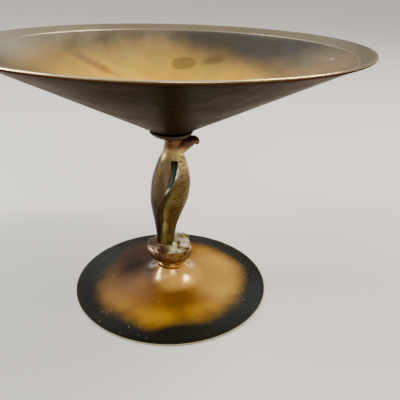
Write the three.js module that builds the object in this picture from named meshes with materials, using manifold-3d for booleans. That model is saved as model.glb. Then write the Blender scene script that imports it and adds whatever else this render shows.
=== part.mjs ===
// A spun-bronze pedestal bowl: a shallow cone of a bowl on a cast stem in the shape of
// a standing bird, which grips a small rock, and a low trumpet foot.
// Millimetres, +Z up. The origin is the centre of the foot, on the surface it stands on.
// The bird looks along +X, so its wings lie on the -Y and +Y sides.
import * as THREE from "three";
import { mergeVertices } from "three/addons/utils/BufferGeometryUtils.js";
import Module from "manifold-3d";

const wasm = await Module();
wasm.setup();

// Driving dimensions of the bowl
const bowlRadius = 100;
const bowlDepth = 46.6; // from the rim's top down to the seat under the bowl
const bowlWall = 1.4;
const bowlSeatRadius = 7; // flat bottom that stands on the collar
const bowlSeatBend = 6; // length of wall over which the flat turns up into the cone
const lipWidth = 8; // plain border outside the turned line
const lipSlope = 0.5; // how far the border rises for each millimetre outward
const lineWidth = 0.9; // the line turned into the inside of the bowl
const lineDepth = 0.35;
const rimBeadRadius = 0.75;

// Driving dimensions of the stem
const collarRadius = 12;
const collarHeight = 4.3;
const collarEdge = 0.8;
const collarNeckRadius = 5.6;
const rockRadius = 13.4;
const rockHeight = 9;
const rockShift = -2.1; // the rock stands a little behind the screw's axis
const birdHeight = 68.6; // from the top of the rock to the flat on the crown
const bodyDepth = 11; // from the middle of the body to the breast, where it is deepest
const bodyWidth = 8.3; // from the middle of the body to its side, where it is widest
const wingLift = 0.9; // how far the folded wings stand out from the body
const wingEdge = 12; // degrees of the body's girth over which a wing's front edge rises
const shoulder = 0.86; // where the wings begin, as a share of the bird's height
const wingSpan = [136, 120, 70]; // degrees from the breast to a wing's edge: tip, thigh and shoulder
const pocketRadius = 2.2; // the hollow behind the breast, under the shoulder
const grooveDepth = 0.7; // between the leg and the belly
const legRadius = 1.9;
const legAngle = 98; // degrees from the breast to the leg
const stance = 3.5; // from the middle to each foot
const toeRadius = 1.5;
const toeReach = 10.6; // how far forward of the screw's axis the toes grip
const toeSplay = 2.8;
const beakLength = 14.6; // from the screw's axis
const beakGap = 0.3; // between the beak and the collar's underside
const ringRadius = 9.4;
const ringHeight = 3.6;

// Driving dimensions of the foot
const footRadius = 59.2;
const footHeight = 14.2;
const footWall = 1.3;
const footTopRadius = 8.4;
const footLand = 2.6; // flat ring under the edge, which the bowl stands on

// Screws and washers
const screwRadius = 2;
const screwClearance = 0.3; // radial, in every hole that a screw passes or enters
const bowlScrewHeadRadius = 5.4;
const bowlScrewHeadHeight = 2.4;
const bowlScrewReach = 9; // how far its shank enters the crown
const footScrewAcross = 8; // across the flats of its hexagon head
const footScrewHeadHeight = 3;
const footScrewReach = 13;
const washerThickness = 0.9;
const bowlWasherRadius = 6.6;
const footWasherRadius = 7.4;
const springWasherRadius = 4.1;
const springWasherThickness = 1.1;
const slotWidth = 1.2;
const slotDepth = 1.1;
const holeEndGap = 1.5; // blind holes run on past the screw's end

// Heights of the joints between the pieces, from the ground up
const ringBase = footHeight;
const rockBase = ringBase + ringHeight;
const rockTop = rockBase + rockHeight;
const crownTop = rockTop + birdHeight;
const collarTop = crownTop + collarHeight;
const rimTop = collarTop + bowlDepth;
const holeRadius = screwRadius + screwClearance;

const fineSides = 72;

const finishes = {
  bowl: { color: 0x6b5230, metalness: 1, roughness: 0.36 },
  stem: { color: 0x6e5a34, metalness: 1, roughness: 0.42 },
  foot: { color: 0x7a5a28, metalness: 1, roughness: 0.3 },
  dark: { color: 0x3a3024, metalness: 1, roughness: 0.45 },
  screw: { color: 0x8a7040, metalness: 1, roughness: 0.4 },
};

// Solids: three.js geometry in and out of manifold-3d, which only joins and cuts

function toSolid(geometry) {
  const bare = new THREE.BufferGeometry();
  bare.setAttribute("position", geometry.getAttribute("position"));
  if (geometry.index) bare.setIndex(geometry.index);
  const merged = mergeVertices(bare, 1e-4);
  return new wasm.Manifold(
    new wasm.Mesh({
      numProp: 3,
      vertProperties: new Float32Array(merged.attributes.position.array),
      triVerts: new Uint32Array(merged.index.array),
    }),
  );
}

function toGeometry(solid) {
  const mesh = solid.getMesh();
  const geometry = new THREE.BufferGeometry();
  geometry.setAttribute("position", new THREE.BufferAttribute(mesh.vertProperties, 3));
  geometry.setIndex(new THREE.BufferAttribute(mesh.triVerts, 1));
  const flat = geometry.toNonIndexed();
  flat.computeVertexNormals();
  return flat;
}

function joined(solids) {
  return solids.reduce((sum, solid) => sum.add(solid));
}

// A closed outline of [radius, height] pairs turned about the Z axis
function turned(outline, sides = fineSides) {
  const points = outline.map(([r, z]) => new THREE.Vector2(r, z));
  const geometry = new THREE.LatheGeometry(points, sides);
  geometry.rotateX(Math.PI / 2);
  return toSolid(geometry);
}

// A plain round bar along Z between two heights
function bar(radius, low, high, sides = 24) {
  const geometry = new THREE.CylinderGeometry(radius, radius, high - low, sides);
  geometry.rotateX(Math.PI / 2);
  geometry.translate(0, 0, (low + high) / 2);
  return toSolid(geometry);
}

function block(width, depth, low, high) {
  const geometry = new THREE.BoxGeometry(width, depth, high - low);
  geometry.translate(0, 0, (low + high) / 2);
  return toSolid(geometry);
}

// Points of an arc in the outline's plane, from one angle to another, in degrees
function arc(centreR, centreZ, radius, from, to, steps) {
  return Array.from({ length: steps + 1 }, (_, i) => {
    const angle = THREE.MathUtils.degToRad(from + ((to - from) * i) / steps);
    return [centreR + radius * Math.cos(angle), centreZ + radius * Math.sin(angle)];
  });
}

// A flowing form along a spine. Each station is [x, y, z, half width along Y, half depth],
// and the form passes smoothly through them all.
function flowing(stations, { sides = 20, steps = 24 } = {}) {
  const path = new THREE.CatmullRomCurve3(
    stations.map(([x, y, z]) => new THREE.Vector3(x, y, z)),
    false,
    "centripetal",
  );
  const size = new THREE.CatmullRomCurve3(
    stations.map((s, i) => new THREE.Vector3(s[3], s[4], i)),
  );
  const rings = [];
  for (let i = 0; i <= steps; i++) {
    const t = i / steps;
    const centre = path.getPoint(t);
    const along = path.getTangent(t);
    const across = new THREE.Vector3(0, 1, 0).addScaledVector(along, -along.y).normalize();
    const through = new THREE.Vector3().crossVectors(along, across);
    const half = size.getPoint(t);
    rings.push(
      Array.from({ length: sides }, (_, k) => {
        const angle = (2 * Math.PI * k) / sides;
        return centre
          .clone()
          .addScaledVector(across, Math.cos(angle) * half.x)
          .addScaledVector(through, Math.sin(angle) * half.y);
      }),
    );
  }
  return skinned(rings);
}

// The bowl: a cone with a flat seat, a plain border outside a turned line and a rounded edge

function bowl() {
  const seat = collarTop;
  const lineRadius = bowlRadius - lipWidth;
  const wallTop = rimTop - rimBeadRadius;
  const lipFoot = wallTop - lipSlope * lipWidth;
  const coneSlope = (lipFoot - seat) / (lineRadius - bowlSeatRadius - bowlSeatBend / 2);
  const bendEnd = bowlSeatRadius + bowlSeatBend;
  const bendRise = (coneSlope * bowlSeatBend) / 2;
  const bend = new THREE.QuadraticBezierCurve(
    new THREE.Vector2(bowlSeatRadius, seat),
    new THREE.Vector2(bowlSeatRadius + bowlSeatBend / 2, seat),
    new THREE.Vector2(bendEnd, seat + bendRise),
  ).getPoints(3);
  const outside = bend.map((p) => [p.x, p.y]);
  const inside = bend.map((p) => [p.x, p.y + bowlWall]).reverse();
  const beadCentre = bowlRadius - rimBeadRadius;
  return turned([
    [holeRadius, seat],
    ...outside,
    [lineRadius, lipFoot],
    ...arc(beadCentre, rimTop - rimBeadRadius, rimBeadRadius, -60, 150, 7),
    [lineRadius + lineWidth, lipFoot + bowlWall + lipSlope * lineWidth],
    [lineRadius + lineWidth / 2, lipFoot + bowlWall - lineDepth],
    [lineRadius, lipFoot + bowlWall],
    ...inside,
    [holeRadius, seat + bowlWall],
    [holeRadius, seat],
  ]);
}

// The collar: a shallow saucer between the bird's crown and the bowl

function collarUnderside() {
  return new THREE.QuadraticBezierCurve(
    new THREE.Vector2(collarNeckRadius, crownTop),
    new THREE.Vector2(collarRadius * 0.83, crownTop + collarHeight * 0.25),
    new THREE.Vector2(collarRadius, collarTop - collarEdge),
  )
    .getPoints(5)
    .map((p) => [p.x, p.y]);
}

function collar() {
  return turned([
    [holeRadius, crownTop],
    ...collarUnderside(),
    [collarRadius, collarTop],
    [holeRadius, collarTop],
    [holeRadius, crownTop],
  ], 48);
}

// The cast stem: bird and rock in one piece

// Rings of points, lowest first, closed into one skin with a flat at each end
function skinned(rings) {
  const sides = rings[0].length;
  const positions = rings.flat().flatMap((p) => [p.x, p.y, p.z]);
  const index = [];
  for (let i = 0; i < rings.length - 1; i++) {
    for (let k = 0; k < sides; k++) {
      const a = i * sides + k;
      const b = i * sides + ((k + 1) % sides);
      index.push(a, b, a + sides, b, b + sides, a + sides);
    }
  }
  for (let k = 1; k < sides - 1; k++) {
    const last = (rings.length - 1) * sides;
    index.push(0, k + 1, k, last, last + k, last + k + 1);
  }
  const geometry = new THREE.BufferGeometry();
  geometry.setAttribute("position", new THREE.Float32BufferAttribute(positions, 3));
  geometry.setIndex(index);
  return toSolid(geometry);
}

// A rounded lump of rock, undercut at its foot and uneven on top
function rock() {
  const sides = 32;
  const levels = 8;
  const rings = [];
  for (let i = 0; i <= levels; i++) {
    const share = i / levels;
    const girth = Math.sin(Math.PI * (0.27 + 0.42 * share)) ** 0.8;
    const shrink = share === 1 ? 0.72 : 1;
    const ringPoints = [];
    for (let k = 0; k < sides; k++) {
      const angle = (2 * Math.PI * k) / sides;
      const lumps = 0.03 * Math.sin(3 * angle + 4 * share) + 0.022 * Math.sin(7 * angle - 5 * share);
      const radius = rockRadius * girth * shrink * (1 + lumps * share);
      const uneven = share > 0.8 ? 0.5 * Math.sin(4 * angle + 1) + 0.4 * Math.cos(angle) : 0;
      ringPoints.push(
        new THREE.Vector3(
          rockShift * share + radius * Math.cos(angle),
          radius * Math.sin(angle),
          rockBase + rockHeight * share + uneven * (share - 0.5),
        ),
      );
    }
    rings.push(ringPoints);
  }
  return skinned(rings);
}

// The bird's trunk at its stations up the height: share of the height, then the middle along X
// and half the depth as shares of bodyDepth, and half the width as a share of bodyWidth
const trunkStations = [
  [0.0, -0.27, 0.46, 0.53],
  [0.1, -0.28, 0.47, 0.54],
  [0.21, -0.26, 0.56, 0.64],
  [0.33, -0.19, 0.75, 0.8],
  [0.45, -0.09, 0.95, 0.95],
  [0.57, -0.01, 1.0, 1.0],
  [0.68, 0.04, 0.93, 0.93],
  [0.8, 0.08, 0.71, 0.77],
  [0.87, 0.08, 0.555, 0.65],
  [0.93, 0.1, 0.49, 0.59],
  [1.0, 0.155, 0.48, 0.58],
];

function trunkAt(share) {
  const last = trunkStations.length - 1;
  const found = trunkStations.findIndex((station) => station[0] >= share);
  const above = found < 0 ? last : Math.max(1, found);
  const [low, high] = [trunkStations[above - 1], trunkStations[above]];
  const before = trunkStations[Math.max(0, above - 2)];
  const after = trunkStations[Math.min(last, above + 1)];
  const t = (share - low[0]) / (high[0] - low[0]);
  const [middle, depth, width] = [1, 2, 3].map((i) => {
    const span = high[0] - low[0];
    const slopeLow = ((high[i] - before[i]) / (high[0] - before[0])) * span;
    const slopeHigh = ((after[i] - low[i]) / (after[0] - low[0])) * span;
    return (
      low[i] * (1 - 3 * t * t + 2 * t ** 3) +
      high[i] * (3 * t * t - 2 * t ** 3) +
      slopeLow * (t - 2 * t * t + t ** 3) +
      slopeHigh * (t ** 3 - t * t)
    );
  });
  return { middle: middle * bodyDepth, depth: depth * bodyDepth, width: width * bodyWidth };
}

// The angle round from the breast at which the wings' front edges run at a given height
function wingAngle(share) {
  const [tip, thigh, top] = wingSpan;
  const risen = THREE.MathUtils.smoothstep(share, 0.3, shoulder);
  return tip + (thigh - tip) * THREE.MathUtils.smoothstep(share, 0, 0.3) + (top - thigh) * risen;
}

// How far the skin stands out from the plain trunk, with the angle in degrees from the breast
function relief(angle, share) {
  const start = wingAngle(share);
  const covered = THREE.MathUtils.smoothstep(angle, start, start + wingEdge);
  const grown = THREE.MathUtils.smoothstep(shoulder + 0.05 - share, 0, 0.1);
  const tail = THREE.MathUtils.smoothstep(share, 0, 0.3);
  const groove = Math.exp(-(((angle - legAngle * 0.78) / 11) ** 2));
  const low = THREE.MathUtils.smoothstep(share, 0.02, 0.12) * THREE.MathUtils.smoothstep(0.46 - share, 0, 0.14);
  return wingLift * covered * grown * (0.55 + 0.45 * tail) - grooveDepth * groove * low;
}

// A point on the bird's skin. The angle is in degrees, 0 at the breast and 180 at the back.
function skinPoint(angle, share) {
  const { middle, depth, width } = trunkAt(share);
  const turn = THREE.MathUtils.degToRad(angle);
  const round = Math.abs(THREE.MathUtils.euclideanModulo(angle + 180, 360) - 180);
  const lift = relief(round, share);
  const outward = new THREE.Vector2(Math.cos(turn) * width, Math.sin(turn) * depth).normalize();
  return new THREE.Vector3(
    middle + Math.cos(turn) * depth + outward.x * lift,
    Math.sin(turn) * width + outward.y * lift,
    rockTop + birdHeight * share,
  );
}

function trunk() {
  const sides = 48;
  const levels = 32;
  const rings = [];
  for (let i = 0; i <= levels; i++) {
    const share = -0.03 + (1.04 * i) / levels;
    rings.push(Array.from({ length: sides }, (_, k) => skinPoint((360 * k) / sides, share)));
  }
  return skinned(rings);
}

// The deep pocket between a wing's front edge and the breast, below the shoulder
function wingPocket(side) {
  const top = shoulder - 0.025;
  const bottom = 0.58;
  return flowing(
    Array.from({ length: 6 }, (_, i) => {
      const share = top + ((bottom - top) * i) / 5;
      const place = skinPoint(side * (wingAngle(share) + 12 - 1.6 * i), share);
      const size = pocketRadius * (0.14 + 0.86 * Math.sqrt(1 - (i / 5) ** 1.4));
      return [place.x, place.y, place.z, size, size * 0.9];
    }),
    { sides: 10, steps: 12 },
  );
}

// The stout hooked beak, held close under the collar. Each station gives shares of the beak's
// length: forward of the axis, below the crown, half the width and half the depth.
function beak() {
  return flowing(
    [
      [0.1, 0.38, 0.315, 0.315],
      [0.38, 0.3, 0.31, 0.315],
      [0.575, 0.19, 0.275, 0.265],
      [0.755, 0.115, 0.235, 0.215],
      [0.885, 0.1, 0.19, 0.185],
      [0.965, 0.155, 0.145, 0.135],
      [1, 0.25, 0.08, 0.06],
    ]
      .map((shares) => shares.map((share) => share * beakLength))
      .map(([forward, below, width, depth]) => [forward, 0, crownTop - below, width, depth]),
    { sides: 16, steps: 16 },
  );
}

function leg(side) {
  const stations = [0.44, 0.34, 0.2, 0.07].map((share) => {
    const place = skinPoint(side * legAngle, share);
    const sunk = legRadius * (0.32 + 1.7 * THREE.MathUtils.smoothstep(share, 0.2, 0.44));
    return [place.x, place.y - side * sunk, place.z, legRadius * 0.8, legRadius];
  });
  const foot = [stations[3][0] + legRadius * 0.5, side * stance, rockTop - legRadius / 2];
  return flowing([...stations, [...foot, legRadius, legRadius]], { sides: 12, steps: 14 });
}

// Three stout toes spread over the rock's front. Each station gives how far along the toe is,
// how far it has splayed, its height over the rock and its girth in toe radii.
function toes(side) {
  const stations = [
    [-0.05, 0, 0.4, 1],
    [0.4, 0.54, 1.25, 1.1],
    [0.75, 0.9, 0.8, 1],
    [1, 1, -0.8, 0.55],
  ];
  return joined(
    [-1, 0, 1].map((toe) =>
      flowing(
        stations.map(([along, splayed, height, girth]) => [
          along * toeReach,
          side * stance + toe * toeSplay * splayed,
          rockTop + height * toeRadius,
          girth * toeRadius,
          girth * toeRadius,
        ]),
        { sides: 8, steps: 6 },
      ),
    ),
  );
}

function birdStem() {
  const solid = joined([rock(), trunk(), beak(), ...[-1, 1].flatMap((side) => [leg(side), toes(side)])]);
  const casting = solid.subtract(wingPocket(-1)).subtract(wingPocket(1));
  const crownCut = turned([
    [0, crownTop],
    ...collarUnderside().map(([r, z], i) => [r + (i ? beakGap : 0), z - (i ? beakGap : 0)]),
    [collarRadius + beakGap, rimTop],
    [0, rimTop],
  ], 48);
  const crownHole = bar(holeRadius, crownTop - bowlScrewReach - holeEndGap, crownTop + 1);
  const rockHole = bar(holeRadius, rockBase - 1, rockBase + footScrewReach + holeEndGap);
  const baseCut = block(rockRadius * 4, rockRadius * 4, rockBase - rockHeight, rockBase);
  return casting.subtract(crownCut).subtract(crownHole).subtract(rockHole).subtract(baseCut);
}

// The foot and the bead ring on top of it

function ring() {
  const radius = ringHeight / 2;
  return turned([
    [holeRadius, ringBase],
    [ringRadius - radius, ringBase],
    ...arc(ringRadius - radius, ringBase + radius, radius, -60, 60, 4),
    [ringRadius - radius, rockBase],
    [holeRadius, rockBase],
    [holeRadius, ringBase],
  ], 48);
}

function footOutline(radius) {
  // height of the outer face over the ground: steep at the neck and almost flat at the edge
  const span = (radius - footTopRadius) / (footRadius - footTopRadius);
  const edge = footWall;
  return edge + (footHeight - edge) * (0.62 * Math.exp(-9 * span) + 0.38 * (1 - span) ** 1.6);
}

function foot() {
  const steps = 11;
  const radii = Array.from({ length: steps + 1 }, (_, i) => {
    const t = i / steps;
    return footTopRadius + (footRadius - footTopRadius) * t ** 1.7;
  });
  const outer = radii.map((r) => [r, footOutline(r)]);
  const inner = radii
    .filter((r, i) => r < footRadius - footLand && i % 2 === 0)
    .map((r) => [r - footWall * 0.55, footOutline(r) - footWall]);
  return turned([
    [holeRadius, footHeight - footWall],
    ...inner,
    [footRadius - footLand, 0],
    [footRadius, 0],
    ...outer.reverse(),
    [holeRadius, footHeight],
    [holeRadius, footHeight - footWall],
  ]);
}

// Screws and washers

function washer(radius, low, thickness) {
  return turned([
    [holeRadius, low],
    [radius, low],
    [radius, low + thickness],
    [holeRadius, low + thickness],
    [holeRadius, low],
  ], 32);
}

function bowlScrew() {
  const under = collarTop + bowlWall + washerThickness;
  const dome = new THREE.QuadraticBezierCurve(
    new THREE.Vector2(bowlScrewHeadRadius, under + bowlScrewHeadHeight * 0.35),
    new THREE.Vector2(bowlScrewHeadRadius * 0.8, under + bowlScrewHeadHeight),
    new THREE.Vector2(0, under + bowlScrewHeadHeight),
  ).getPoints(4);
  const head = turned([
    [0, crownTop - bowlScrewReach],
    [screwRadius, crownTop - bowlScrewReach],
    [screwRadius, under],
    [bowlScrewHeadRadius, under],
    ...dome.map((p) => [p.x, p.y]),
  ], 32);
  const slotBase = under + bowlScrewHeadHeight - slotDepth;
  return head.subtract(block(bowlScrewHeadRadius * 3, slotWidth, slotBase, slotBase + slotDepth * 3));
}

function footScrew() {
  const headTop = footHeight - footWall - washerThickness - springWasherThickness;
  const hexagon = new THREE.CylinderGeometry(
    footScrewAcross / Math.sqrt(3),
    footScrewAcross / Math.sqrt(3),
    footScrewHeadHeight,
    6,
  );
  hexagon.rotateX(Math.PI / 2);
  hexagon.translate(0, 0, headTop - footScrewHeadHeight / 2);
  const shank = bar(screwRadius, headTop - 1, rockBase + footScrewReach);
  return toSolid(hexagon).add(shank);
}

function springWasher() {
  const low = footHeight - footWall - washerThickness - springWasherThickness;
  const whole = washer(springWasherRadius, low, springWasherThickness);
  const cut = new THREE.BoxGeometry(springWasherRadius * 2, 0.8, springWasherThickness * 4);
  cut.rotateX(THREE.MathUtils.degToRad(25));
  cut.translate(springWasherRadius * 1.2, 0, low + springWasherThickness / 2);
  return whole.subtract(toSolid(cut));
}

// Assembly

const pedestalBowl = new THREE.Group();

function place(name, solid, finish) {
  const mesh = new THREE.Mesh(toGeometry(solid), new THREE.MeshStandardMaterial(finishes[finish]));
  mesh.name = name;
  pedestalBowl.add(mesh);
}

place("bowl", bowl(), "bowl");
place("bowl_washer", washer(bowlWasherRadius, collarTop + bowlWall, washerThickness), "screw");
place("bowl_screw", bowlScrew(), "screw");
place("stem_collar", collar(), "dark");
place("bird_stem", birdStem(), "stem");
place("foot_ring", ring(), "foot");
place("foot", foot(), "foot");
place(
  "foot_washer",
  washer(footWasherRadius, footHeight - footWall - washerThickness, washerThickness),
  "screw",
);
place("foot_spring_washer", springWasher(), "screw");
place("foot_screw", footScrew(), "screw");

export default pedestalBowl;
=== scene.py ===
import math

import bmesh
import bpy
from mathutils import Matrix, Vector, noise


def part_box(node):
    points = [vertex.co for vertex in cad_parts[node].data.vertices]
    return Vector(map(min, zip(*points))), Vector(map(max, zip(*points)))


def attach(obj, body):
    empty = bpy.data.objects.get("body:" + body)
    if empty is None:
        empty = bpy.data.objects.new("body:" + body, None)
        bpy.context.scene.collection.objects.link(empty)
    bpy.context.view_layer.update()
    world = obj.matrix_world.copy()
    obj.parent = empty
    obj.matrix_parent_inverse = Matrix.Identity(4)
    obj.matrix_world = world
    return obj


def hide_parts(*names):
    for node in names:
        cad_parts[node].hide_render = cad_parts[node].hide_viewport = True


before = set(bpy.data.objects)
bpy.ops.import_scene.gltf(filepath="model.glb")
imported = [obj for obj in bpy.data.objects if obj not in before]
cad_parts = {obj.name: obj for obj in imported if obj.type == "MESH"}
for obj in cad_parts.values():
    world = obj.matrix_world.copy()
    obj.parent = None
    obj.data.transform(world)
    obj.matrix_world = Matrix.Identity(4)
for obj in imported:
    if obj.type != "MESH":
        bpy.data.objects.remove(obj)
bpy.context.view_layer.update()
print("frame loaded:", ", ".join(sorted(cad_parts)))

mm = 0.001
rockLow, birdHigh = (corner.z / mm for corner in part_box("bird_stem"))
seatHeight, rimHeight = (corner.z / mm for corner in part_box("bowl"))
collarLow, collarHigh = (corner.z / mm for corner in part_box("stem_collar"))
ringLow, ringHigh = (corner.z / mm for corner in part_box("foot_ring"))
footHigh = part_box("foot")[1].z / mm


# Small sums

def tone(code):  # a screen colour such as "b08030" as the linear colour of a shader
    parts = [int(code[i : i + 2], 16) / 255 for i in (0, 2, 4)]
    return (*[c / 12.92 if c < 0.04045 else ((c + 0.055) / 1.055) ** 2.4 for c in parts], 1)


def ease(x, low=0.0, high=1.0):  # 0 below low, 1 above high and a smooth slope between
    t = min(1.0, max(0.0, (x - low) / (high - low)))
    return t * t * (3 - 2 * t)


def bell(x, middle, width):
    return math.exp(-(((x - middle) / width) ** 2))


def along(stations, t):  # a smooth curve through rows of numbers, for t from 0 to 1
    place = min(max(t, 0.0), 1.0) * (len(stations) - 1)
    i = min(int(place), len(stations) - 2)
    f = place - i
    rows = [stations[min(max(i + k, 0), len(stations) - 1)] for k in (-1, 0, 1, 2)]
    return [
        0.5 * (2 * b + (c - a) * f + (2 * a - 5 * b + 4 * c - d) * f * f + (3 * b - a - 3 * c + d) * f**3)
        for a, b, c, d in zip(*rows)
    ]


def arc(centre, radius, start, stop, steps):  # points on an arc in an outline, in degrees
    turns = [math.radians(start + (stop - start) * i / steps) for i in range(steps + 1)]
    return [(centre[0] + radius * math.cos(t), centre[1] + radius * math.sin(t)) for t in turns]


def curve(start, bend, stop, steps):  # a quadratic curve in an outline
    made = []
    for i in range(steps + 1):
        t = i / steps
        made.append(
            tuple(a * (1 - t) ** 2 + 2 * b * t * (1 - t) + c * t * t for a, b, c in zip(start, bend, stop))
        )
    return made


# Making pieces

def finished(name, bm, materials, crease=40):
    mesh = bpy.data.meshes.new(name)
    bm.to_mesh(mesh)
    bm.free()
    piece = bpy.data.objects.new(name, mesh)
    bpy.context.scene.collection.objects.link(piece)
    for material in materials:
        mesh.materials.append(material)
    mesh.shade_smooth()
    mesh.set_sharp_from_angle(angle=math.radians(crease))
    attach(piece, "root")
    return piece


def spun(outline, steps=192):  # a closed outline of (radius, height) in mm, spun about the axis
    bm = bmesh.new()
    points = [bm.verts.new((r * mm, 0, z * mm)) for r, z in outline]
    for a, b in zip(points, points[1:] + points[:1]):
        bm.edges.new((a, b))
    bmesh.ops.spin(
        bm,
        geom=bm.verts[:] + bm.edges[:],
        cent=(0, 0, 0),
        axis=(0, 0, 1),
        angle=2 * math.pi,
        steps=steps,
        use_merge=True,
        use_duplicate=False,
    )
    bmesh.ops.remove_doubles(bm, verts=bm.verts, dist=1e-7)
    bmesh.ops.recalc_face_normals(bm, faces=bm.faces)
    return bm


def grown(bm, place, levels, sides):  # a ring pulled up level by level; place(turn, share) is in mm
    turnOf = bm.verts.layers.float.get("turn") or bm.verts.layers.float.new("turn")
    ring = bmesh.ops.create_circle(bm, cap_ends=False, segments=sides, radius=1)["verts"]
    for vert in ring:
        vert[turnOf] = math.degrees(math.atan2(vert.co.y, vert.co.x))
        vert.co = place(vert[turnOf], 0.0) * mm
    edges = [e for e in bm.edges if e.verts[0] in ring and e.verts[1] in ring]
    ends = [edges]
    for level in range(1, levels + 1):
        made = bmesh.ops.extrude_edge_only(bm, edges=edges)["geom"]
        edges = [e for e in made if isinstance(e, bmesh.types.BMEdge) and len(e.link_faces) == 1]
        for vert in {v for e in edges for v in e.verts}:
            vert.co = place(vert[turnOf], level / levels) * mm
    ends.append(edges)
    for loop in ends:
        bmesh.ops.edgeloop_fill(bm, edges=loop)


def swept(bm, stations, levels, sides):  # a round form along x, y, z, half width and half depth
    def place(turn, share):
        x, y, z, wide, deep = along(stations, share)
        before, after = (Vector(along(stations, share + s)[:3]) for s in (-0.01, 0.01))
        run = (after - before).normalized()
        across = (Vector((0, 1, 0)) - run * run.y).normalized()
        through = run.cross(across)
        t = math.radians(turn)
        return Vector((x, y, z)) + across * (math.cos(t) * wide) + through * (math.sin(t) * deep)

    grown(bm, place, levels, sides)


# Shaders

class Wire:  # a socket's value, which adds and multiplies as a number does
    def __init__(self, shader, socket):
        self.shader = shader
        self.socket = socket

    def sum(self, operation, first, second):
        return self.shader.node("Math", {"operation": operation}, {0: first, 1: second})

    def __add__(self, other):
        return self.sum("ADD", self, other)

    def __radd__(self, other):
        return self.sum("ADD", other, self)

    def __sub__(self, other):
        return self.sum("SUBTRACT", self, other)

    def __rsub__(self, other):
        return self.sum("SUBTRACT", other, self)

    def __mul__(self, other):
        return self.sum("MULTIPLY", self, other)

    def __rmul__(self, other):
        return self.sum("MULTIPLY", other, self)

    def __truediv__(self, other):
        return self.sum("DIVIDE", self, other)

    def __pow__(self, other):
        return self.sum("POWER", self, other)


class Shader:  # one material
    def __init__(self, name):
        self.material = bpy.data.materials.new(name)
        self.material.use_nodes = True
        self.tree = self.material.node_tree
        self.tree.nodes.clear()

    def node(self, kind, settings=None, inputs=None, output=0):
        made = self.tree.nodes.new("ShaderNode" + kind)
        for key, value in (settings or {}).items():
            if key == "stops":
                for i, (place, colour) in enumerate(value):
                    stop = made.color_ramp.elements[i] if i < 2 else made.color_ramp.elements.new(place)
                    stop.position = place
                    stop.color = colour if isinstance(colour, tuple) else (colour, colour, colour, 1)
            else:
                setattr(made, key, value)
        for key, value in (inputs or {}).items():
            if isinstance(value, Wire):
                self.tree.links.new(value.socket, made.inputs[key])
            else:
                made.inputs[key].default_value = value
        return Wire(self, made.outputs[output]) if made.outputs else made

    def position(self):
        return self.node("TexCoord", output="Object")

    def place(self):  # X and Y in mm from the bowl's axis, and Z in mm from the ground
        return [self.node("SeparateXYZ", inputs={0: self.position()}, output=axis) * 1000 for axis in "XYZ"]

    def radius(self):  # the distance from the bowl's axis, in mm
        flat = self.node("VectorMath", {"operation": "MULTIPLY"}, {0: self.position(), 1: (1000, 1000, 0)})
        return self.node("VectorMath", {"operation": "LENGTH"}, {0: flat}, "Value")

    def spot(self, centre, size, wobble=0.0, turn=0.0, soft=0.5):  # 1 inside an oval in mm, 0 well outside
        moved = self.node(
            "Mapping",
            {"vector_type": "TEXTURE"},
            {
                "Vector": self.position(),
                "Location": (centre[0] * mm, centre[1] * mm, 0),
                "Rotation": (0, 0, math.radians(turn)),
                "Scale": (size[0] * mm, size[1] * mm, 1000),
            },
        )
        away = self.node("VectorMath", {"operation": "LENGTH"}, {0: moved}, "Value")
        return self.spread(away + wobble, 1 - soft, 1 + soft, 1, 0)

    def cloud(self, scale, detail=3, rough=0.5, warp=0.0, stretch=(1, 1, 1), turn=(0, 0, 0)):
        moved = self.node("Mapping", inputs={"Vector": self.position(), "Scale": stretch, "Rotation": turn})
        return self.node(
            "TexNoise",
            inputs={"Vector": moved, "Scale": scale, "Detail": detail, "Roughness": rough, "Distortion": warp},
        )

    def spread(self, value, low, high, start=0.0, stop=1.0):  # one range of values onto another
        return self.node(
            "MapRange",
            {"interpolation_type": "SMOOTHSTEP", "clamp": True},
            {"Value": value, "From Min": low, "From Max": high, "To Min": start, "To Max": stop},
        )

    def blend(self, share, first, second, kind="MIX"):
        return self.node("Mix", {"data_type": "RGBA", "blend_type": kind}, {0: share, 6: first, 7: second}, 2)

    def read(self, name):  # a number that was written on the mesh
        return self.node("Attribute", {"attribute_name": name}, output="Fac")

    def metal(self, colour, roughness, metallic=1.0, bump=None, bumpSize=0.0001, fixed=None):
        inputs = {"Base Color": colour, "Roughness": roughness, "Metallic": metallic, **(fixed or {})}
        if bump is not None:
            inputs["Normal"] = self.node("Bump", inputs={"Height": bump, "Distance": bumpSize, "Strength": 1.0})
        surface = self.node("BsdfPrincipled", inputs=inputs)
        self.node("OutputMaterial", inputs={"Surface": surface})
        return self.material


# Bowl

bowl = {
    "wall": 1.4,
    "seat": 7,
    "seatBend": 6,
    "radius": 100,
    "lipWidth": 8,
    "lipSlope": 0.5,
    "lineWidth": 0.9,
    "lineDepth": 0.35,
    "bead": 0.75,
    "hole": 2.3,
    "gold": tone("f0ac26"),
    "brightGold": tone("ffc82e"),
    "olive": tone("8e8840"),
    "oldGold": tone("907848"),
    "rust": tone("8a5226"),
    "mist": tone("887c64"),
    "paleSheen": tone("aca28e"),
    "border": tone("8c8068"),
    "drab": tone("5a4c32"),
    "blush": tone("d2a676"),
    "slate": tone("3a2f22"),
    "slateBlue": tone("393631"),
    "darkSpot": tone("544428"),
    "line": tone("d8d0c0"),
    # the rim's edge: rubbed metal and painted highlight
    "rim": tone("d2bd92"),
    "rimSide": tone("4a2e18"),
    "outside": tone("302616"),
    "outsideRed": tone("382412"),
}


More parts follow.
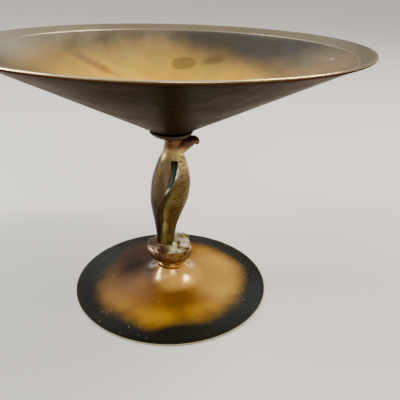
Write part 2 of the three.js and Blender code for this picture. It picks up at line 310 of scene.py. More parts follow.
def bowlInside():
    s = Shader("bowlWellPatinaAndSheen")
    x, y, z = s.place()
    r = s.radius()
    drift = s.cloud(16, detail=3, warp=0.5)
    fine = s.cloud(75, detail=5, rough=0.62)
    streaks = s.cloud(30, detail=4, rough=0.6, turn=(0, 0, 0.9), stretch=(1, 0.22, 1))
    gold = s.blend(s.spread(drift, 0.38, 0.62), bowl["gold"], bowl["brightGold"])
    green = s.spread(s.cloud(24, detail=4, warp=0.5), 0.42, 0.66, 0, 0.5) + s.spot((22, 50), (24, 10), 0.0, 0, 0.7) * 0.3
    gold = s.blend(green, gold, bowl["olive"])
    gold = s.blend(s.spot((-48, 43), (15, 4), (fine - 0.5) * 2, -16, 0.7) * 0.75, gold, bowl["rust"])
    pale = s.blend(s.spread(streaks, 0.3, 0.7), bowl["mist"], bowl["drab"])
    pale = s.blend(s.spread(y + x * 0.4 + (drift - 0.5) * 30, 48, 84, 0, 0.55), pale, bowl["drab"])
    wobble = (drift - 0.5) * 14 + (streaks - 0.5) * 8
    dark = s.spread(x * 0.646 + y * 0.763 + wobble * 1.3, 52, 78) * s.spread(x + wobble, -12, 18)
    dark = dark * s.spread(y + wobble * 0.5, 4, 40) * s.spread(r, 93, 90)
    opposite = s.spot((-20, -72), (40, 20), wobble * 0.06, 20, 0.8) * s.spread(r, 93, 90) * 0.6
    dark = s.node("Math", {"operation": "MAXIMUM"}, {0: dark, 1: opposite})
    blue = s.blend(s.spread(streaks, 0.42, 0.6), bowl["slate"], bowl["slateBlue"])
    # a paler patch at the left of the well: painted sheen
    pale = s.blend(s.spot((-88, 12), (15, 24), wobble * 0.05, 0, 0.8) * 0.7, pale, bowl["paleSheen"])
    pale = s.blend(s.spot((66, -18), (20, 22), wobble * 0.05, 0, 0.8) * 0.6, pale, bowl["blush"])
    reach = r + x * 0.08 - y * 0.04 + (drift - 0.5) * 22 + (streaks - 0.5) * 16 + (fine - 0.5) * 6
    gold = s.blend(s.spread(reach, 42, 66, 0, 0.6), gold, bowl["oldGold"])
    colour = s.blend(s.spread(reach, 55, 82), gold, pale)
    colour = s.blend(dark * 0.88, colour, blue)
    # two small dark spots in the well
    for centre, size, soft in (((9, 58.6), (7.4, 5.6), 0.2), ((28, 57.4), (7.6, 4.2), 0.5)):
        colour = s.blend(s.spot(centre, size, (fine - 0.5) * 0.8, 0, soft) * 0.6, colour, bowl["darkSpot"])
    colour = s.blend(s.spread(r, 91.6, 93.4, 0, 0.5), colour, bowl["border"])
    # a pale line along the incised groove: painted highlight on its edge
    line = s.spread(r, 91.8, 92.2) - s.spread(r, 92.6, 93.0)
    colour = s.blend(line * 0.35, colour, bowl["line"])
    # the rim's rounded edge in pale cream: rubbed metal and painted highlight
    bright = s.spread(r, 98.7, 99.2)
    colour = s.blend(bright, colour, bowl["rim"])
    colour = s.blend(s.spot((84.3, -0.8), (1.1, 1.1), 0.0, 0, 0.3) * 0.8, colour, bowl["line"])
    rough = s.spread(fine, 0.3, 0.7, 0.34, 0.46) - bright * 0.2
    return s.metal(colour, rough, 0.9, bump=streaks + fine * 0.5, bumpSize=0.00003)


def bowlOutside():
    s = Shader("bowlBrownPatinaAndReflection")
    x, y, z = s.place()
    fine = s.cloud(45, detail=5, rough=0.6)
    broad = s.cloud(9, detail=2)
    # the dark brown outside is patina, darkened further as a painted reflection of dark brown surroundings
    colour = s.blend(s.spread(x + (broad - 0.5) * 90, -20, 80), bowl["outside"], bowl["outsideRed"])
    colour = s.blend(s.spread(fine, 0.5, 0.75, 0, 0.3), colour, tone("4a3826"))
    edge = s.spread(s.radius(), 99.3, 99.7)
    colour = s.blend(edge * 0.8, colour, bowl["rimSide"])
    rough = s.spread(fine, 0.3, 0.7, 0.3, 0.42)
    dull = {"Specular IOR Level": 0.05, "Specular Tint": (0.26, 0.18, 0.1, 1)}
    return s.metal(colour, rough, 0.75 + edge * 0.2, bump=s.cloud(160, detail=3), bumpSize=0.00002, fixed=dull)


def makeBowl():
    b = bowl
    seat, top = seatHeight, rimHeight
    lineRadius = b["radius"] - b["lipWidth"]
    lipFoot = top - b["bead"] - b["lipSlope"] * b["lipWidth"]
    slope = (lipFoot - seat) / (lineRadius - b["seat"] - b["seatBend"] / 2)
    bendEnd = (b["seat"] + b["seatBend"], seat + slope * b["seatBend"] / 2)
    bend = curve((b["seat"], seat), (b["seat"] + b["seatBend"] / 2, seat), bendEnd, 8)
    cone = [
        (bendEnd[0] + (lineRadius - bendEnd[0]) * i / 18, bendEnd[1] + (lipFoot - bendEnd[1]) * i / 18)
        for i in range(1, 19)
    ]
    outline = [(b["hole"], seat), *bend, *cone]
    outline += arc((b["radius"] - b["bead"], top - b["bead"]), b["bead"], -62, 118, 16)
    inner = lipFoot + b["wall"]
    outline += [(lineRadius + b["lineWidth"] + 0.15, inner + b["lipSlope"] * (b["lineWidth"] + 0.15))]
    outline += [(lineRadius + b["lineWidth"], inner + b["lipSlope"] * b["lineWidth"] - 0.06)]
    outline += [(lineRadius + b["lineWidth"] / 2, inner - b["lineDepth"]), (lineRadius, inner - 0.06)]
    outline += [(lineRadius - 0.15, inner - 0.15 * slope)]
    outline += [(r, z + b["wall"]) for r, z in reversed(cone[:-1])]
    outline += [(r, z + b["wall"]) for r, z in reversed(bend)]
    outline += [(b["hole"], seat + b["wall"])]
    bm = spun(outline, 256)
    for face in bm.faces:
        middle = face.calc_center_median()
        face.material_index = 0 if face.normal.z > 0 or middle.z > (top - 0.5) * mm else 1
    piece = finished("bowlShell", bm, [bowlInside(), bowlOutside()], 35)
    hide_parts("bowl")
    return piece


makeBowl()
print("bowl spun")


# Collar and ring

collar = {"neck": 5.6, "radius": 12, "edge": 0.8, "hole": 2.3, "colour": tone("3c2e1e"), "worn": tone("5e4830")}
ring = {"radius": 9.4, "colour": tone("e2bd74"), "dull": tone("94703a")}


def collarPatina():
    s = Shader("collarDarkPatina")
    fine = s.cloud(90, detail=4, rough=0.6)
    colour = s.blend(s.spread(fine, 0.5, 0.72), collar["colour"], collar["worn"])
    return s.metal(colour, s.spread(fine, 0.3, 0.7, 0.35, 0.5), 0.8, bump=fine, bumpSize=0.00008)


def makeCollar():
    c = collar
    high = collarHigh - collarLow
    under = curve(
        (c["neck"], collarLow), (c["radius"] * 0.83, collarLow + high * 0.25), (c["radius"], collarHigh - c["edge"]), 16
    )
    outline = [(c["hole"], collarLow), *under]
    outline += arc((c["radius"] - 0.3, collarHigh - 0.3), 0.3, 0, 90, 6) + [(c["hole"], collarHigh)]
    piece = finished("stemCollar", spun(outline, 128), [collarPatina()], 40)
    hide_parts("stem_collar")


def ringPolish():
    s = Shader("ringPolish")
    fine = s.cloud(120, detail=4)
    colour = s.blend(s.spread(fine, 0.4, 0.7), ring["colour"], ring["dull"])
    return s.metal(colour, s.spread(fine, 0.3, 0.7, 0.13, 0.24), 1.0, bump=fine, bumpSize=0.00003)


def makeRing():
    r = ring["radius"]
    tall = ringHigh - ringLow
    bead = tall * 0.3
    outline = [(2.3, ringLow), (r - 0.7, ringLow), (r - 0.7, ringLow + 0.3)]
    outline += arc((r - bead, ringHigh - 0.3 - bead), bead, -75, 75, 14)
    outline += [(r - 0.7, ringHigh), (2.3, ringHigh)]
    piece = finished("neckRing", spun(outline, 128), [ringPolish()], 50)
    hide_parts("foot_ring")


makeCollar()
makeRing()
print("collar and ring turned")


# Foot

foot = {
    "radius": 59.2,
    "top": 8.4,
    "wall": 1.3,
    "land": 2.6,
    "hole": 2.3,
    "gold": tone("be8812"),
    "amber": tone("704408"),
    "sand": tone("cc9c48"),
    "roseReflection": tone("8e6642"),
    "umber": tone("1c0f06"),
    "slate": tone("1c1810"),
    "slateBlue": tone("252a26"),
    # neckGold: bright gold of the painted reflection round the neck
    "neckGold": tone("ffc464"),
    "roseDark": tone("48291a"),
    # edge: pale tone of the specks and of the painted highlight along the foot's edge
    "edge": tone("c9bda0"),
}


def footPatinaAndPaintedSheen():
    s = Shader("footPatinaAndPaintedSheen")
    x, y, z = s.place()
    r = s.radius()
    drift = s.cloud(20, detail=3, warp=0.5)
    fine = s.cloud(120, detail=6, rough=0.65)
    wobble = (drift - 0.5) * 1.4
    gold = s.blend(s.spread(s.cloud(28, detail=4), 0.4, 0.66, 0, 0.8), foot["gold"], foot["amber"])
    gold = s.blend(s.spread(r + (drift - 0.5) * 14, 40, 27, 0, 0.8), gold, foot["amber"])
    gold = s.blend(s.spot((34, 0), (22, 28), wobble, 0, 0.7), gold, foot["sand"])
    # a rose-grey zone left of the neck: painted reflection
    gold = s.blend(s.spot((-30, -2), (20, 24), wobble, 0, 0.9) * 0.9, gold, foot["roseReflection"])
    gold = s.blend(s.spot((-22, 32), (26, 18), wobble, 25, 0.9), gold, foot["roseDark"])
    gold = s.blend(s.spot((-25, 12), (18, 13), wobble, 25, 0.9), gold, foot["umber"])
    # round the neck, dark rose on the left and bright gold on the right: painted reflection
    neckReflection = s.blend(s.spread(x + (drift - 0.5) * 10, -14, 0), foot["roseDark"], foot["neckGold"])
    gold = s.blend(s.spread(r + (drift - 0.5) * 8, 22, 12, 0, 0.92), gold, neckReflection)
    smoke = s.cloud(48, detail=5, rough=0.65, warp=0.6)
    reach = r + s.node("Math", {"operation": "ABSOLUTE"}, {0: x + 6}) * 0.05
    reach = reach + (drift - 0.5) * 15 + (smoke - 0.5) * 9 + (fine - 0.5) * 3
    reach = reach + s.spot((7, -50), (12, 5), wobble, 0, 0.8) * 6
    brim = s.spread(reach, 37, 53)
    # bluish patches on the dark brim: painted reflection
    bluishReflection = s.spread(s.cloud(13, detail=3), 0.42, 0.62) * s.spread(y, -54, -28, 0.15, 1)
    slate = s.blend(bluishReflection, foot["slate"], foot["slateBlue"])
    colour = s.blend(brim, gold, slate)
    # small pale specks over the foot, in the tone also used for the edge's painted highlight
    specks = s.spread(s.cloud(900, detail=0), 0.83, 0.87)
    colour = s.blend(specks * 0.6, colour, foot["edge"])
    # a pale band along the foot's outer edge: painted highlight
    edge = s.spread(r, 58.7, 59.1)
    colour = s.blend(edge * 0.8, colour, foot["edge"])
    neck = s.spread(r, 22, 10)
    rough = s.spread(fine, 0.3, 0.72, 0.36, 0.48) - neck * 0.2
    coat = {"Coat Weight": neck * 0.9 + 0.1, "Coat Roughness": 0.18, "Specular IOR Level": 0.1}
    return s.metal(colour, rough, 0.3 + neck * 0.1, bump=s.cloud(90, detail=4), bumpSize=0.00004, fixed=coat)


def footHeightAt(radius):
    f = foot
    span = max(0.0, (radius - f["top"]) / (f["radius"] - f["top"]))
    return f["wall"] + (footHigh - f["wall"]) * (0.62 * math.exp(-9 * span) + 0.38 * (1 - min(span, 1)) ** 1.6)


def makeFoot():
    f = foot
    radii = [f["top"] + (f["radius"] - f["top"]) * (i / 44) ** 1.6 for i in range(45)]
    inner = [r for r in radii if r < f["radius"] - f["land"]]
    outline = [(f["hole"], footHigh - f["wall"])]
    outline += [(r - f["wall"] * 0.55, footHeightAt(r) - f["wall"]) for r in inner]
    outline += [(f["radius"] - f["land"], 0), (f["radius"] - 0.25, 0), (f["radius"], 0.3)]
    outline += [(f["radius"], f["wall"] - 0.35)]
    outline += [(r, footHeightAt(r)) for r in reversed(radii[:-1])] + [(f["hole"], footHigh)]
    piece = finished("footShell", spun(outline, 224), [footPatinaAndPaintedSheen()], 40)
    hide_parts("foot")


makeFoot()
print("foot spun")


# Bird

bird = {
    "rockHeight": 9.0,
    "rockRise": 2.0,
    "rockNeck": 9.1,
    "neckHeight": 2.2,
    "rockRadius": 13.4,
    "rockShift": -2.1,
    "bodyDepth": 11.0,
    "bodyWidth": 8.3,
    "wingLift": 0.9,
    "wingEdge": 9,
    "wingSpan": (136, 120, 70),
    "shoulder": 0.86,
    "pocket": 2.3,
    "groove": 0.8,
    "legRadius": 1.9,
    "legAngle": 98,
    "stance": 3.5,
    "toeRadius": 1.7,
    "toeReach": 10.6,
    "toeSplay": 2.8,
    "beakLength": 14.6,
    "beakGap": 0.3,
    "hammer": 0.2,
    "voxel": 0.27,
    "brown": tone("5e4024"),
    # wingTop lighter and wingLow darker for the painted light and shade up the wing
    "wingTop": tone("84704e"),
    "wingMid": tone("4e3c26"),
    "wingLow": tone("28180c"),
    "wingRed": tone("46281a"),
    "wingHighlight": tone("94886c"),
    "litTan": tone("d8b284"),
    "gold": tone("5a421e"),
    "neckGold": tone("cdb474"),
    "olive": tone("5a4a22"),
    "crease": tone("33240f"),
    # dark: painted shade in the pockets
    "dark": tone("20241a"),
    "wearAndGlint": tone("fff8e2"),
    "rock": tone("7c5c20"),
    "rockWearAndGlint": tone("f2e4b8"),
    "rockRose": tone("54382a"),
    "lump": tone("a88c70"),
    "tealShade": tone("43524a"),
    "ridgeHighlight": tone("8c7e40"),
    "moss": tone("5c5a1c"),
}
rockTop = rockLow + bird["rockHeight"]  # where the trunk's shares of its height start
perch = rockTop + bird["rockRise"]  # the rock's own top
crown = collarLow
birdHeight = crown - rockTop

# Up the trunk: share of the height, then the middle along X and half the depth as shares of
# bodyDepth, and half the width as a share of bodyWidth
trunkStations = [
    [0.0, -0.27, 0.46, 0.53],
    [0.1, -0.28, 0.47, 0.54],
    [0.21, -0.26, 0.56, 0.64],
    [0.33, -0.19, 0.75, 0.8],
    [0.45, -0.09, 0.95, 0.95],
    [0.57, -0.01, 1.0, 1.0],
    [0.68, 0.04, 0.93, 0.93],
    [0.8, 0.08, 0.71, 0.77],
    [0.87, 0.08, 0.555, 0.65],
    [0.93, 0.1, 0.49, 0.59],
    [1.0, 0.155, 0.48, 0.58],
]


def trunkAt(share):
    last = len(trunkStations) - 1
    above = max(1, next((i for i, s in enumerate(trunkStations) if s[0] >= share), last))
    low, high = trunkStations[above - 1], trunkStations[above]
    before, after = trunkStations[max(0, above - 2)], trunkStations[min(last, above + 1)]
    span = high[0] - low[0]
    t = (share - low[0]) / span
    made = []
    for i, size in ((1, bird["bodyDepth"]), (2, bird["bodyDepth"]), (3, bird["bodyWidth"])):
        slopeLow = (high[i] - before[i]) / (high[0] - before[0]) * span
        slopeHigh = (after[i] - low[i]) / (after[0] - low[0]) * span
        flat = low[i] * (1 - 3 * t * t + 2 * t**3) + high[i] * (3 * t * t - 2 * t**3)
        made.append(size * (flat + slopeLow * (t - 2 * t * t + t**3) + slopeHigh * (t**3 - t * t)))
    return made


def wingAngle(share):
    tip, thigh, top = bird["wingSpan"]
    return tip + (thigh - tip) * ease(share, 0, 0.3) + (top - thigh) * ease(share, 0.3, bird["shoulder"])


def relief(angle, share):  # how far the skin stands out from the plain trunk, in mm
    girth = abs((angle + 180) % 360 - 180)
    behind = girth - wingAngle(share)
    wing = ease(bird["shoulder"] + 0.05 - share, 0, 0.1)
    tail = ease(share, 0, 0.3)
    lift = bird["wingLift"] * ease(behind, 0, bird["wingEdge"]) * wing * (0.55 + 0.45 * tail)
    lip = 0.4 * bell(behind, bird["wingEdge"], 5) * ease(share, 0.3, 0.45) * ease(0.82 - share, 0, 0.1)
    shadow = 0.7 * bell(behind, -4, 4.5) * ease(share, 0.05, 0.2) * ease(0.66 - share, 0, 0.1)
    low = ease(share, 0.02, 0.12) * ease(0.46 - share, 0, 0.14)
    groove = bird["groove"] * bell(girth, bird["legAngle"] * 0.78, 10) * low
    seam = 0.4 * bell(girth, 180, 4) * ease(share, 0.1, 0.25) * ease(0.8 - share, 0, 0.2)
    return lift + lip - shadow - groove - seam


def skinPoint(angle, share):
    middle, deep, wide = trunkAt(share)
    t = math.radians(angle)
    out = Vector((math.cos(t) * wide, math.sin(t) * deep, 0)).normalized() * relief(angle, share)
    z = rockTop + birdHeight * share
    return Vector((middle + math.cos(t) * deep, math.sin(t) * wide, z)) + out


def rockPoint(angle, share):
    t = math.radians(angle)
    neckTop = bird["neckHeight"] / (perch - rockLow)
    share = share * 1.06 - 0.06  # the lowest levels go round the turned neck
    if share < 0:
        z = rockLow + bird["neckHeight"] * (1 + share / 0.06)
        return Vector((bird["rockNeck"] * math.cos(t), bird["rockNeck"] * math.sin(t), z))
    girth = 0.7 + 0.3 * math.sin(math.pi * 0.5 * ease(share, -0.35, 0.5))
    shrink = 1 - 0.04 * ease(share, 0.6, 1) - 0.12 * ease(share, 0.9, 1)
    lumps = 0.03 * math.sin(3 * t + 4 * share) + 0.022 * math.sin(7 * t - 5 * share)
    radius = bird["rockRadius"] * girth * shrink * (1 + lumps * share)
    uneven = (0.5 * math.sin(4 * t + 1) + 0.4 * math.cos(t)) * (share - 0.5) * ease(share, 0.7, 0.9)
    x = bird["rockShift"] * share + radius * math.cos(t)
    z = rockLow + (perch - rockLow) * (neckTop + (1 - neckTop) * share)
    return Vector((x, radius * math.sin(t), z + uneven))


def beakForm(bm):  # shares of the beak's length: forward, below the crown, half width, half depth
    shares = [
        [0.1, 0.38, 0.315, 0.315],
        [0.38, 0.3, 0.31, 0.315],
        [0.575, 0.19, 0.275, 0.265],
        [0.755, 0.115, 0.235, 0.215],
        [0.885, 0.1, 0.19, 0.185],
        [0.965, 0.155, 0.145, 0.135],
        [1, 0.25, 0.08, 0.06],
    ]
    size = bird["beakLength"]
    swept(bm, [[a * size, 0, crown - b * size, c * size, d * size] for a, b, c, d in shares], 60, 48)


def legForm(bm, side):
    r = bird["legRadius"]
    stations = []
    for share in (0.44, 0.34, 0.2, 0.07):
        place = skinPoint(side * bird["legAngle"], share)
        sunk = r * (0.28 + 1.7 * ease(share, 0.2, 0.44))
        stations.append([place.x, place.y - side * sunk, place.z, r * 0.8, r])
    stations.append([stations[3][0] + r * 0.5, side * bird["stance"], perch - r / 2, r, r])
    swept(bm, stations, 40, 32)


def toeForms(bm, side):  # how far along, how far splayed, height and girth in toe radii
    r = bird["toeRadius"]
    shares = [[-0.1, 0, 0.2, 1.1], [0.35, 0.54, 0.8, 1.2], [0.72, 0.9, 0.45, 1.1], [1, 1, -0.7, 0.75]]
    for toe in (-1, 0, 1):
        stations = []
        for along, splayed, height, girth in shares:
            y = side * bird["stance"] + toe * bird["toeSplay"] * splayed
            stations.append([along * bird["toeReach"], y, perch + height * r, girth * r, girth * r])
        swept(bm, stations, 24, 24)


def pocketForm(bm, side):
    stations = []
    top, bottom = bird["shoulder"] - 0.025, 0.58
    for i in range(6):
        share = top + (bottom - top) * i / 5
        place = skinPoint(side * (wingAngle(share) + 13 - 1.8 * i), share)
        size = bird["pocket"] * (0.12 + 0.88 * math.sqrt(1 - (i / 5) ** 1.4))
        stations.append([place.x, place.y, place.z, size * 1.1, size * 0.9])
    swept(bm, stations, 40, 32)


def helper(bm, name):
    bmesh.ops.recalc_face_normals(bm, faces=bm.faces)
    mesh = bpy.data.meshes.new(name)
    bm.to_mesh(mesh)
    bm.free()
    holder = bpy.data.objects.new(name, mesh)
    bpy.context.scene.collection.objects.link(holder)
    return holder


def castBird():  # the forms melted into one skin, with the two pockets cut out of it
    solid, hollow = bmesh.new(), bmesh.new()
    grown(solid, rockPoint, 40, 120)
    grown(solid, lambda turn, share: skinPoint(turn, -0.03 + 1.03 * share), 190, 240)
    beakForm(solid)
    mound = [[-1, 0, perch - 1, 3, 1.8], [5, 0, perch - 0.5, 4.4, 2], [9.6, 0, perch - 1.6, 3.4, 1.6]]
    swept(solid, mound, 16, 24)
    for side in (-1, 1):
        legForm(solid, side)
        toeForms(solid, side)
        pocketForm(hollow, side)
    body, pockets = helper(solid, "body"), helper(hollow, "pockets")
    melt = body.modifiers.new("melt", "REMESH")
    melt.mode = "VOXEL"
    melt.voxel_size = bird["voxel"] * mm
    carve = body.modifiers.new("carve", "BOOLEAN")
    carve.operation = "DIFFERENCE"
    carve.solver = "MANIFOLD"
    carve.object = pockets
    again = body.modifiers.new("again", "REMESH")
    again.mode = "VOXEL"
    again.voxel_size = bird["voxel"] * mm
    soften = body.modifiers.new("soften", "SMOOTH")
    soften.factor = 0.5
    soften.iterations = 1
    bpy.context.view_layer.update()
    graph = bpy.context.evaluated_depsgraph_get()
    made = bpy.data.meshes.new_from_object(body.evaluated_get(graph))
    bm = bmesh.new()
    bm.from_mesh(made)
    bpy.data.objects.remove(body)
    bpy.data.objects.remove(pockets)
    bpy.data.meshes.remove(made)
    return bm


def chased(p, girth, share):  # the hammered breast above, strokes across the belly and down the thighs
    place = Vector((p.x, abs(p.y), p.z))
    hammer = noise.fractal(place * 0.95, 1.0, 2.0, 3)
    across = p.z + 0.07 * girth
    low = ease(0.5 - share, 0, 0.12)
    wave = 0.8 * noise.noise(place * 0.25)
    strokes = math.sin(2 * math.pi * (across / 3.1 + wave)) * (1 - low)
    strokes += math.sin(2 * math.pi * (girth / 12 + wave)) * low
    belly = ease(0.6 - share, 0, 0.12)
    out = bird["hammer"] * (0.95 - 0.6 * belly) * hammer + 0.07 * belly * strokes
    out += 0.3 * bell(across, 68.2, 1.0) * ease(girth, 25, 50) * ease(95 - girth, 0, 20)
    return out - 0.16 * bell(across, 66.4, 1.0) * ease(girth, 25, 50) * ease(95 - girth, 0, 20)


def birdDetail(bm):
    marks = {name: bm.verts.layers.float.new(name) for name in ("worn", "wingPart", "sunk", "rockPart", "bright", "tealShade", "ridgeHighlight", "back")}
    bm.normal_update()
    eye = Vector((-0.9, 4.2, crown - 1.7))
    for vert in bm.verts:
        p = vert.co / mm
        share = (p.z - rockTop) / birdHeight
        middle, deep, wide = trunkAt(min(max(share, 0.0), 1.0))
        girth = abs(math.degrees(math.atan2(p.y / wide, (p.x - middle) / deep)))
        behind = girth - wingAngle(share)
        reach = math.hypot((p.x - middle) / deep, p.y / wide)
        below = (1 - reach) * (deep + wide) / 2 + relief(girth, share)
        onTrunk = ease(share, 0.0, 0.06) * ease(1.4 - reach, 0, 0.2)
        # the pockets and the cleft before the wing's edge are marked for painted shade
        sunk = ease(below, 0.35, 1.3) * ease(share, 0.5, 0.6) * ease(0.86 - share, 0, 0.02)
        cleft = bell(behind, -3.5, 4) * ease(share, 0.05, 0.2) * ease(0.66 - share, 0, 0.1)
        wing = ease(behind, 1, 7) * ease(bird["shoulder"] + 0.02 - share, 0, 0.07) * onTrunk
        front = onTrunk * ease(-behind, 1, 6) * ease(0.95 - share, 0, 0.08) * (1 - sunk)
        rocky = ease(perch + 0.9 - p.z, 0, 0.8)
        toe = ease(p.x, 0.2, 1.6) * ease(perch + 4 - p.z, 0, 1) * (1 - rocky)
        grain = chased(p, girth, share)
        lumpy = noise.fractal(Vector(p) * 0.22 + Vector((7, 3, 1)), 1.0, 2.0, 3) * ease(p.z, rockLow + 2.2, rockLow + 4)
        topSide = ease(vert.normal.z, 0.2, 0.7)
        out = front * grain + 0.45 * lumpy * (rocky * (0.5 + 0.5 * topSide) + toe * 0.5)
        side = Vector((p.x, abs(p.y), p.z))
        away = (side - eye).length
        out += 0.55 * ease(1.2 - away, 0, 0.6) - 0.25 * bell(away, 1.45, 0.25)
        mouth = crown - 2.7 + 0.05 * (p.x - 7) - 1.6 * ease(p.x, 12.4, 14.8)
        out -= 0.3 * bell(p.z, mouth, 0.32) * ease(p.x, 7.5, 9)
        vert.co += vert.normal * (out * mm)
        vert[marks["worn"]] = 0.5 + 1.6 * grain
        vert[marks["wingPart"]] = wing
        vert[marks["sunk"]] = min(1.0, sunk + 0.85 * cleft)
        vert[marks["rockPart"]] = max(rocky, toe)
        # thin near-white strips along the wing's front edge: painted highlight
        rim = ease(3.2 - abs(behind - bird["wingEdge"] + 3), 0, 1.8) * ease(share, 0.54, 0.6)
        rim *= ease(0.69 - share, 0, 0.03)
        rim += ease(4 - abs(behind + 3.5), 0, 1.8) * ease(share, 0.67, 0.7) * ease(0.78 - share, 0, 0.03)
        # the rock's and toes' upward-facing lumps made pale: painted highlight and wear
        raised = ease(lumpy, -0.55, 0.3) * max(rocky * topSide, toe) * ease(p.x, -6, 1)
        vert[marks["bright"]] = min(1.0, rim * (1 - sunk) + raised)
        vert[marks["back"]] = ease(girth, 138, 172)
        # teal on the wing beside the pockets: painted shade
        window = ease(share, 0.52, 0.62) * ease(0.82 - share, 0, 0.08)
        vert[marks["tealShade"]] = bell(behind, 6 + 26 * (share - 0.6), 7) * window
        # a pale gold strip down each leg's ridge: painted highlight
        vert[marks["ridgeHighlight"]] = bell(girth, bird["legAngle"] + 2, 9) * ease(share, 0, 0.05) * ease(0.44 - share, 0, 0.1)


def birdPatinaAndPaintedLight():
    s = Shader("birdPatinaAndPaintedLight")
    x, y, z = s.place()
    fine = s.cloud(300, detail=5, rough=0.6)
    broad = s.cloud(70, detail=3)
    worn = s.read("worn") + (fine - 0.5) * 0.7
    # lighter tan toward the top of the breast: painted light
    high = s.spread(z + (broad - 0.5) * 9 + (fine - 0.5) * 8, 71, 82)
    breast = s.blend(high, bird["gold"], bird["litTan"])
    # darker olive lower down: painted shade, mixed with olive patina in the hammered pits
    low = s.spread(z + (broad - 0.5) * 10, 74, 62)
    breast = s.blend(low * 0.5 + s.spread(worn, 0.25, 0.8, 0.7, 0) * 0.6, breast, bird["olive"])
    breast = s.blend(s.spread(s.cloud(160, detail=4), 0.5, 0.62) * low * 0.8, breast, bird["moss"])
    breast = s.blend(s.spread(worn, 0.1, 0.45, 0.7, 0), breast, bird["crease"])
    breast = s.blend(s.spread(z + x * 0.3 + (broad - 0.5) * 6, 80, 87), breast, bird["neckGold"])
    breast = s.blend(s.spread(z + (broad - 0.5) * 5 + (fine - 0.5) * 3, 86.5, 91.5), breast, bird["brown"])
    # near-white dots on the hammered high points near the top: wear, and painted highlight where light falls
    breast = s.blend(s.spread(worn, 0.7, 1.0) * high * s.spread(z, 86, 82) * 0.8, breast, bird["wearAndGlint"])
    breast = s.blend(s.read("ridgeHighlight") * 0.85, breast, bird["ridgeHighlight"])
    # the wing darker toward the bottom, painted shade, and lighter at the top, painted light
    wing = s.blend(s.spread(z + (broad - 0.5) * 14, 48, 70), bird["wingLow"], bird["wingMid"])
    wing = s.blend(s.spread(z + (broad - 0.5) * 10, 68, 84), wing, bird["wingTop"])
    grain = s.cloud(260, detail=4, rough=0.6, stretch=(1, 1, 0.16))
    wing = s.blend(s.spread(grain, 0.46, 0.66) * 0.55, wing, bird["wingRed"])
    # pale streaks on the upper wing: painted highlight
    wing = s.blend(s.spread(grain, 0.46, 0.3) * s.spread(z, 56, 74) * 0.5, wing, bird["wingHighlight"])
    wing = s.blend(s.read("back") * 0.75, wing, bird["wingLow"])
    colour = s.blend(s.read("wingPart"), breast, wing)
    # teal near the pockets: painted shade
    colour = s.blend(s.read("tealShade") * 0.8, colour, bird["tealShade"])
    beak = s.spread(x, 2, 5) * s.spread(z + (broad - 0.5) * 2, 91.5, 93)
    colour = s.blend(beak * 0.45, colour, bird["rockRose"])
    rock = s.blend(s.spread(fine + (broad - 0.5) * 0.6, 0.42, 0.66), bird["rock"], bird["gold"])
    # darker rose-brown toward the rock's back: painted shade
    rock = s.blend(s.spread(x + (broad - 0.5) * 12, 2, -9, 0, 0.8), rock, bird["rockRose"])
    # a pale patch on the lump at the rock's top left: painted highlight
    rock = s.blend(s.spot((-11, -6.5), (4.5, 3), (fine - 0.5) * 2, 0, 0.6) * s.spread(z, 24, 27), rock, bird["lump"])
    rock = s.blend(s.spread(z, rockLow + 2.4, rockLow + 1.9), rock, ring["colour"])
    colour = s.blend(s.read("rockPart"), colour, rock)
    # the pockets and cleft painted dark at the top and teal lower down: painted shade
    hollow = s.blend(s.spread(z, 84, 76) * s.spread(z, 64, 70), bird["dark"], bird["tealShade"])
    colour = s.blend(s.read("sunk"), colour, hollow)
    # near-white marks: painted highlight on the wing's front edge, and painted highlight with wear on the rock's tops
    pale = s.blend(s.read("rockPart"), bird["wearAndGlint"], bird["rockWearAndGlint"])
    colour = s.blend(s.read("bright"), colour, pale)
    # the painted highlight marks are smoother and far less metallic, so they show white
    rough = s.spread(fine, 0.3, 0.7, 0.28, 0.42) - s.read("bright") * 0.1
    coat = {"Coat Weight": 0.2, "Coat Roughness": 0.1, "Specular IOR Level": 0.2}
    return s.metal(colour, rough, 0.9 - s.read("bright") * 0.7, bump=fine, bumpSize=0.0001, fixed=coat)


def collarUnder(radius):  # height of the collar's underside over the crown, in mm
    start, bend, stop = collar["neck"], collar["radius"] * 0.83, collar["radius"]
    if radius <= start:
        return 0.0
    a, b, c = start - 2 * bend + stop, 2 * (bend - start), start - min(radius, stop)
    t = (math.sqrt(b * b - 4 * a * c) - b) / (2 * a)
    high = collarHigh - collarLow
    return 2 * t * (1 - t) * high * 0.25 + t * t * (high - collar["edge"]) - bird["beakGap"]


def makeBird():
    bm = castBird()
    birdDetail(bm)
    low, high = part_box("bird_stem")
    for vert in bm.verts:
        radius = math.hypot(vert.co.x, vert.co.y) / mm
        limit = crown + collarUnder(radius) if radius < collar["radius"] + bird["beakGap"] else high.z / mm
        vert.co.z = min(max(vert.co.z, low.z), limit * mm, high.z)
        vert.co.x = min(max(vert.co.x, low.x), high.x)
        vert.co.y = min(max(vert.co.y, low.y), high.y)
    piece = finished("birdCasting", bm, [birdPatinaAndPaintedLight()], 60)
    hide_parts("bird_stem")


makeBird()
print("bird sculpted")


# Fixings

def fixingMetal():
    s = Shader("fixingBrass")
    fine = s.cloud(300, detail=4)
    colour = s.blend(s.spread(fine, 0.4, 0.7), tone("a88748"), tone("5c4626"))
    return s.metal(colour, s.spread(fine, 0.3, 0.7, 0.25, 0.45), 1.0, bump=fine, bumpSize=0.00005)


fixing = fixingMetal()
for name in ("bowl_washer", "bowl_screw", "foot_washer", "foot_spring_washer", "foot_screw"):
    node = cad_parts[name]
    node.data.materials.clear()
    node.data.materials.append(fixing)
print("fixings finished")


# Floor, lights and camera

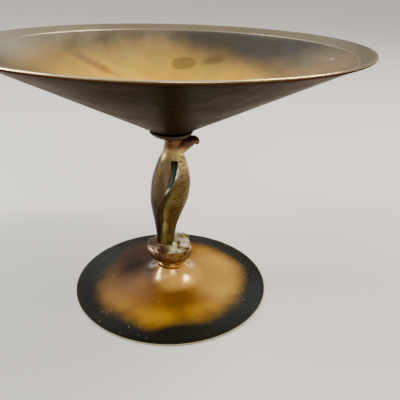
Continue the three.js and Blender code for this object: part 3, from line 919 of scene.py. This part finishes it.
studio = {
    "floor": tone("e8e4de"),
    "world": tone("d8d2ca"),
    "worldStrength": 0.44,
    "sky": 1.5,
    "skyWidth": 100,
    "lens": 41.92,
    "place": (-0.0032, -0.24794, 0.17561),
    "yaw": 4.64,
    "pitch": 25.48,
    "roll": 1.62,
}


def makeFloor():
    s = Shader("floorPaper")
    surface = s.node("BsdfPrincipled", inputs={"Base Color": studio["floor"], "Roughness": 0.9})
    s.node("OutputMaterial", inputs={"Surface": surface})
    bm = bmesh.new()
    bmesh.ops.create_grid(bm, x_segments=1, y_segments=1, size=8)
    mesh = bpy.data.meshes.new("floor")
    bm.to_mesh(mesh)
    bm.free()
    mesh.materials.append(s.material)
    floor = bpy.data.objects.new("floor", mesh)
    bpy.context.scene.collection.objects.link(floor)


def makeWorld():
    world = bpy.data.worlds.new("studio")
    world.use_nodes = True
    background = world.node_tree.nodes["Background"]
    background.inputs["Color"].default_value = studio["world"]
    background.inputs["Strength"].default_value = studio["worldStrength"]
    bpy.context.scene.world = world


def softbox(name, place, target, wide, tall, power, colour=(1, 1, 1)):
    lamp = bpy.data.lights.new(name, "AREA")
    lamp.shape = "RECTANGLE"
    lamp.size = wide
    lamp.size_y = tall
    lamp.energy = power
    lamp.color = colour
    holder = bpy.data.objects.new(name, lamp)
    holder.location = place
    holder.rotation_euler = (Vector(target) - Vector(place)).to_track_quat("-Z", "Y").to_euler()
    bpy.context.scene.collection.objects.link(holder)


def makeSky():  # a wide soft light overhead, a little from the left and behind
    lamp = bpy.data.lights.new("sky", "SUN")
    lamp.energy = studio["sky"]
    lamp.angle = math.radians(studio["skyWidth"])
    holder = bpy.data.objects.new("sky", lamp)
    holder.rotation_euler = Vector((0.25, -0.3, -1)).to_track_quat("-Z", "Y").to_euler()
    bpy.context.scene.collection.objects.link(holder)


def makeCamera():
    lens = bpy.data.cameras.new("photoView")
    lens.lens = studio["lens"]
    lens.sensor_width = 36
    lens.clip_start = 0.01
    holder = bpy.data.objects.new("photoView", lens)
    yaw, pitch, roll = (math.radians(studio[k]) for k in ("yaw", "pitch", "roll"))
    forward = Vector((math.sin(yaw) * math.cos(pitch), math.cos(yaw) * math.cos(pitch), -math.sin(pitch)))
    right = Vector((math.cos(yaw), -math.sin(yaw), 0))
    up = right.cross(forward)
    tiltedRight = right * math.cos(roll) + up * math.sin(roll)
    tiltedUp = up * math.cos(roll) - right * math.sin(roll)
    turn = Matrix((tiltedRight, tiltedUp, -forward)).transposed()
    holder.matrix_world = Matrix.Translation(studio["place"]) @ turn.to_4x4()
    bpy.context.scene.collection.objects.link(holder)
    bpy.context.scene.camera = holder


makeFloor()
makeWorld()
softbox("leftWindow", (-1.0, 0.02, 0.72), (0, 0, 0.05), 0.26, 0.75, 12)
softbox("rightWindow", (0.75, 0.12, 1.05), (0, 0, 0.05), 0.28, 0.7, 15, (1, 0.93, 0.8))
softbox("frontWindow", (0.2, -1.2, 0.95), (0, 0, 0.05), 0.7, 0.4, 4, (1, 0.97, 0.92))
makeSky()
makeCamera()
print("studio set")
